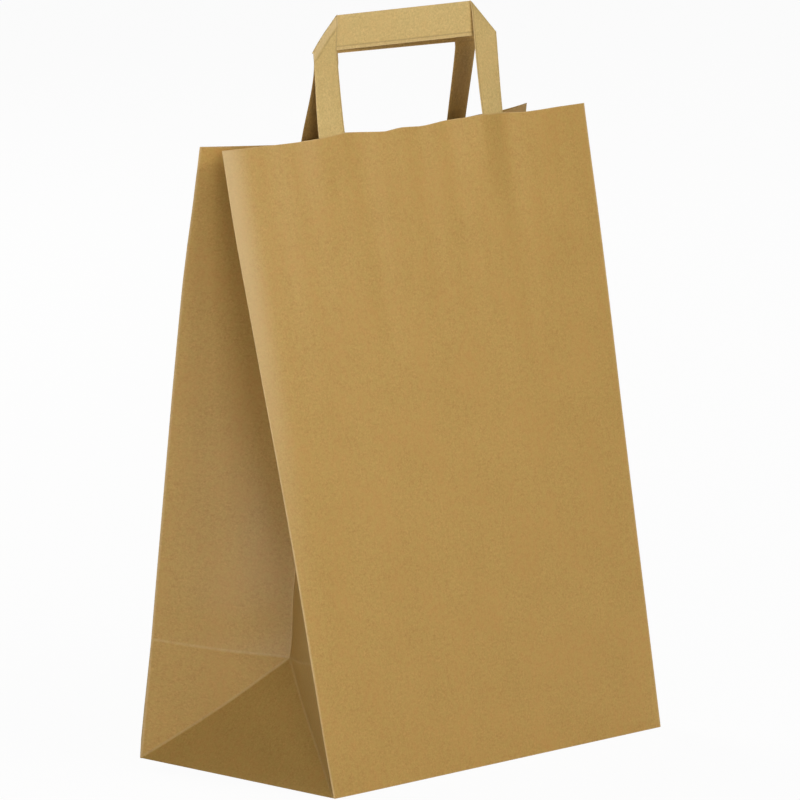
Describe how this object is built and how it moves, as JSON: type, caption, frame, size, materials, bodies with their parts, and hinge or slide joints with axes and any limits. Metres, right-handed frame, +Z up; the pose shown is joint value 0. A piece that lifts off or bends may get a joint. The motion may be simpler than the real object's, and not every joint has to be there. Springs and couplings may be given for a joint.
{
  "type": "paper carrier bag",
  "caption": "Upright brown kraft paper carrier bag with a block bottom, V-folded side gussets and flat folded-tape handles.",
  "frame": {"origin": "middle of the base, on the surface the bag stands on", "axes": "+Z up, +X along the front wall to the right as seen from the front, +Y from the front wall to the rear wall"},
  "size_m": [0.3204, 0.1803, 0.5044],
  "materials": {
    "kraft_sheet": "uncoated brown kraft paper, fine fibre grain",
    "kraft_tape": "uncoated brown kraft paper folded into a flat tape of several plies",
    "kraft_patch": "uncoated brown kraft paper, glued down"
  },
  "bodies": {
    "root": {"bag_body": "kraft_sheet", "front_handle": "kraft_tape", "rear_handle": "kraft_tape", "front_handle_patch": "kraft_patch", "rear_handle_patch": "kraft_patch"}
  },
  "joints": []
}
